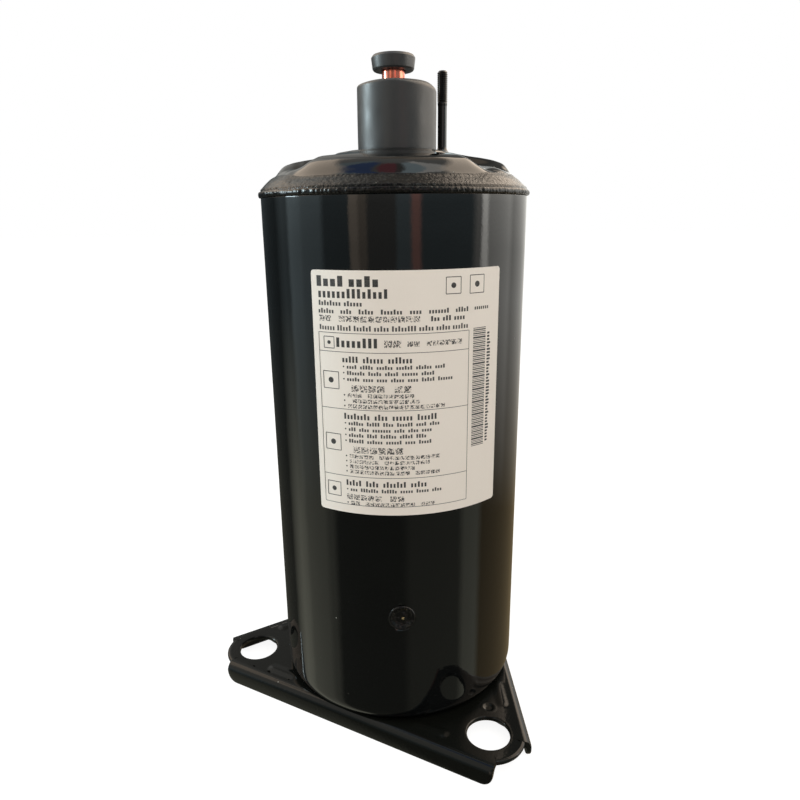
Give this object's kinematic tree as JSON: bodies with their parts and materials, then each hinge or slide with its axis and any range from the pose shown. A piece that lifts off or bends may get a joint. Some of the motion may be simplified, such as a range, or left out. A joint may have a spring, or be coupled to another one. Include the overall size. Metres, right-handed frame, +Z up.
{
  "type": "hermetic rotary compressor",
  "caption": "Hermetic rotary refrigeration compressor: black cylindrical shell on a triangular base, sleeved discharge tube, threaded stud, suction accumulator, working pump and motor inside.",
  "frame": {"origin": "on the shell axis, in the plane that the base stands on", "axes": "+Z up along the shell axis, -Y towards the nameplate, -X towards the left foot hole"},
  "size_m": [0.1542, 0.2015, 0.3012],
  "materials": {
    "black_enamel": "gloss",
    "grey_rubber": "matt",
    "copper": "satin",
    "steel": "satin",
    "cast_iron": "machined",
    "lamination": "satin",
    "enamelled_wire": "gloss",
    "aluminium": "satin",
    "brass": "satin",
    "glass": "gloss",
    "label_paper": "satin",
    "lead_insulation": "matt",
    "weld": "gloss"
  },
  "bodies": {
    "housing": {"shell_can": "black_enamel", "top_cap": "black_enamel", "mounting_base": "black_enamel", "terminal_stud": "black_enamel", "accumulator_shell": "black_enamel", "accumulator_bracket": "black_enamel", "accumulator_strap": "black_enamel", "discharge_sleeve": "grey_rubber", "discharge_tube": "copper", "suction_inlet_tube": "copper", "suction_elbow": "copper", "discharge_collar": "steel", "terminal_cup": "steel", "vane_spring": "steel", "valve_stop": "steel", "valve_rivet": "steel", "discharge_muffler": "steel", "accumulator_screen": "steel", "suction_joint_ring": "steel", "strap_screw_1": "steel", "strap_screw_2": "steel", "pump_bolt_1": "steel", "pump_bolt_2": "steel", "pump_bolt_3": "steel", "pump_bolt_4": "steel", "pump_bolt_5": "steel", "cylinder_block": "cast_iron", "main_bearing": "cast_iron", "sub_bearing": "cast_iron", "stator_core": "lamination", "stator_winding": "enamelled_wire", "terminal_pin_1": "brass", "terminal_pin_2": "brass", "terminal_pin_3": "brass", "terminal_bead_1": "glass", "terminal_bead_2": "glass", "terminal_bead_3": "glass", "nameplate_label": "label_paper", "lead_connector": "lead_insulation", "lead_wire_1": "lead_insulation", "lead_wire_2": "lead_insulation", "lead_wire_3": "lead_insulation", "top_weld_bead": "weld", "plug_weld_1": "weld", "plug_weld_2": "weld", "plug_weld_3": "weld"},
    "crank_and_rotor": {"crankshaft": "cast_iron", "oil_pickup": "steel", "rotor_core": "lamination", "rotor_end_ring_top": "aluminium", "rotor_end_ring_bottom": "aluminium", "balance_weight_top": "brass", "balance_weight_bottom": "brass"},
    "rolling_piston": {"rolling_piston": "steel"},
    "vane": {"vane": "steel"},
    "discharge_reed": {"discharge_reed": "steel"},
    "discharge_plug": {"discharge_plug": "grey_rubber"},
    "suction_plug": {"suction_plug": "grey_rubber"}
  },
  "joints": [
    {"name": "crank_spin", "type": "hinge", "parent": "housing", "child": "crank_and_rotor", "pos_m": [0, 0, 0.0657], "axis": [0, 0, 1], "continuous": true},
    {"name": "piston_roll", "type": "hinge", "parent": "crank_and_rotor", "child": "rolling_piston", "pos_m": [-0.00328, -0.00229, 0.0657], "axis": [0, 0, 1], "continuous": true},
    {"name": "vane_slide", "type": "slide", "parent": "housing", "child": "vane", "axis": [0.1736, 0.9848, 0], "range_m": [-0.0068, 0], "stiffness_N_per_m": 150, "springref_m": -0.008},
    {"name": "discharge_reed_lift", "type": "hinge", "parent": "housing", "child": "discharge_reed", "pos_m": [0.01992, 0.00174, 0.0845], "axis": [0.8434, 0.5373, 0], "range_deg": [0, 5], "stiffness_Nm_per_rad": 0.02},
    {"name": "discharge_plug_pull", "type": "slide", "parent": "housing", "child": "discharge_plug", "axis": [0, 0, 1], "range_m": [0, 0.02]},
    {"name": "suction_plug_pull", "type": "slide", "parent": "housing", "child": "suction_plug", "axis": [0, 0, 1], "range_m": [0, 0.02]}
  ],
  "couplings": [
    {"joint": "piston_roll", "follows": "crank_spin", "ratio": -1}
  ]
}
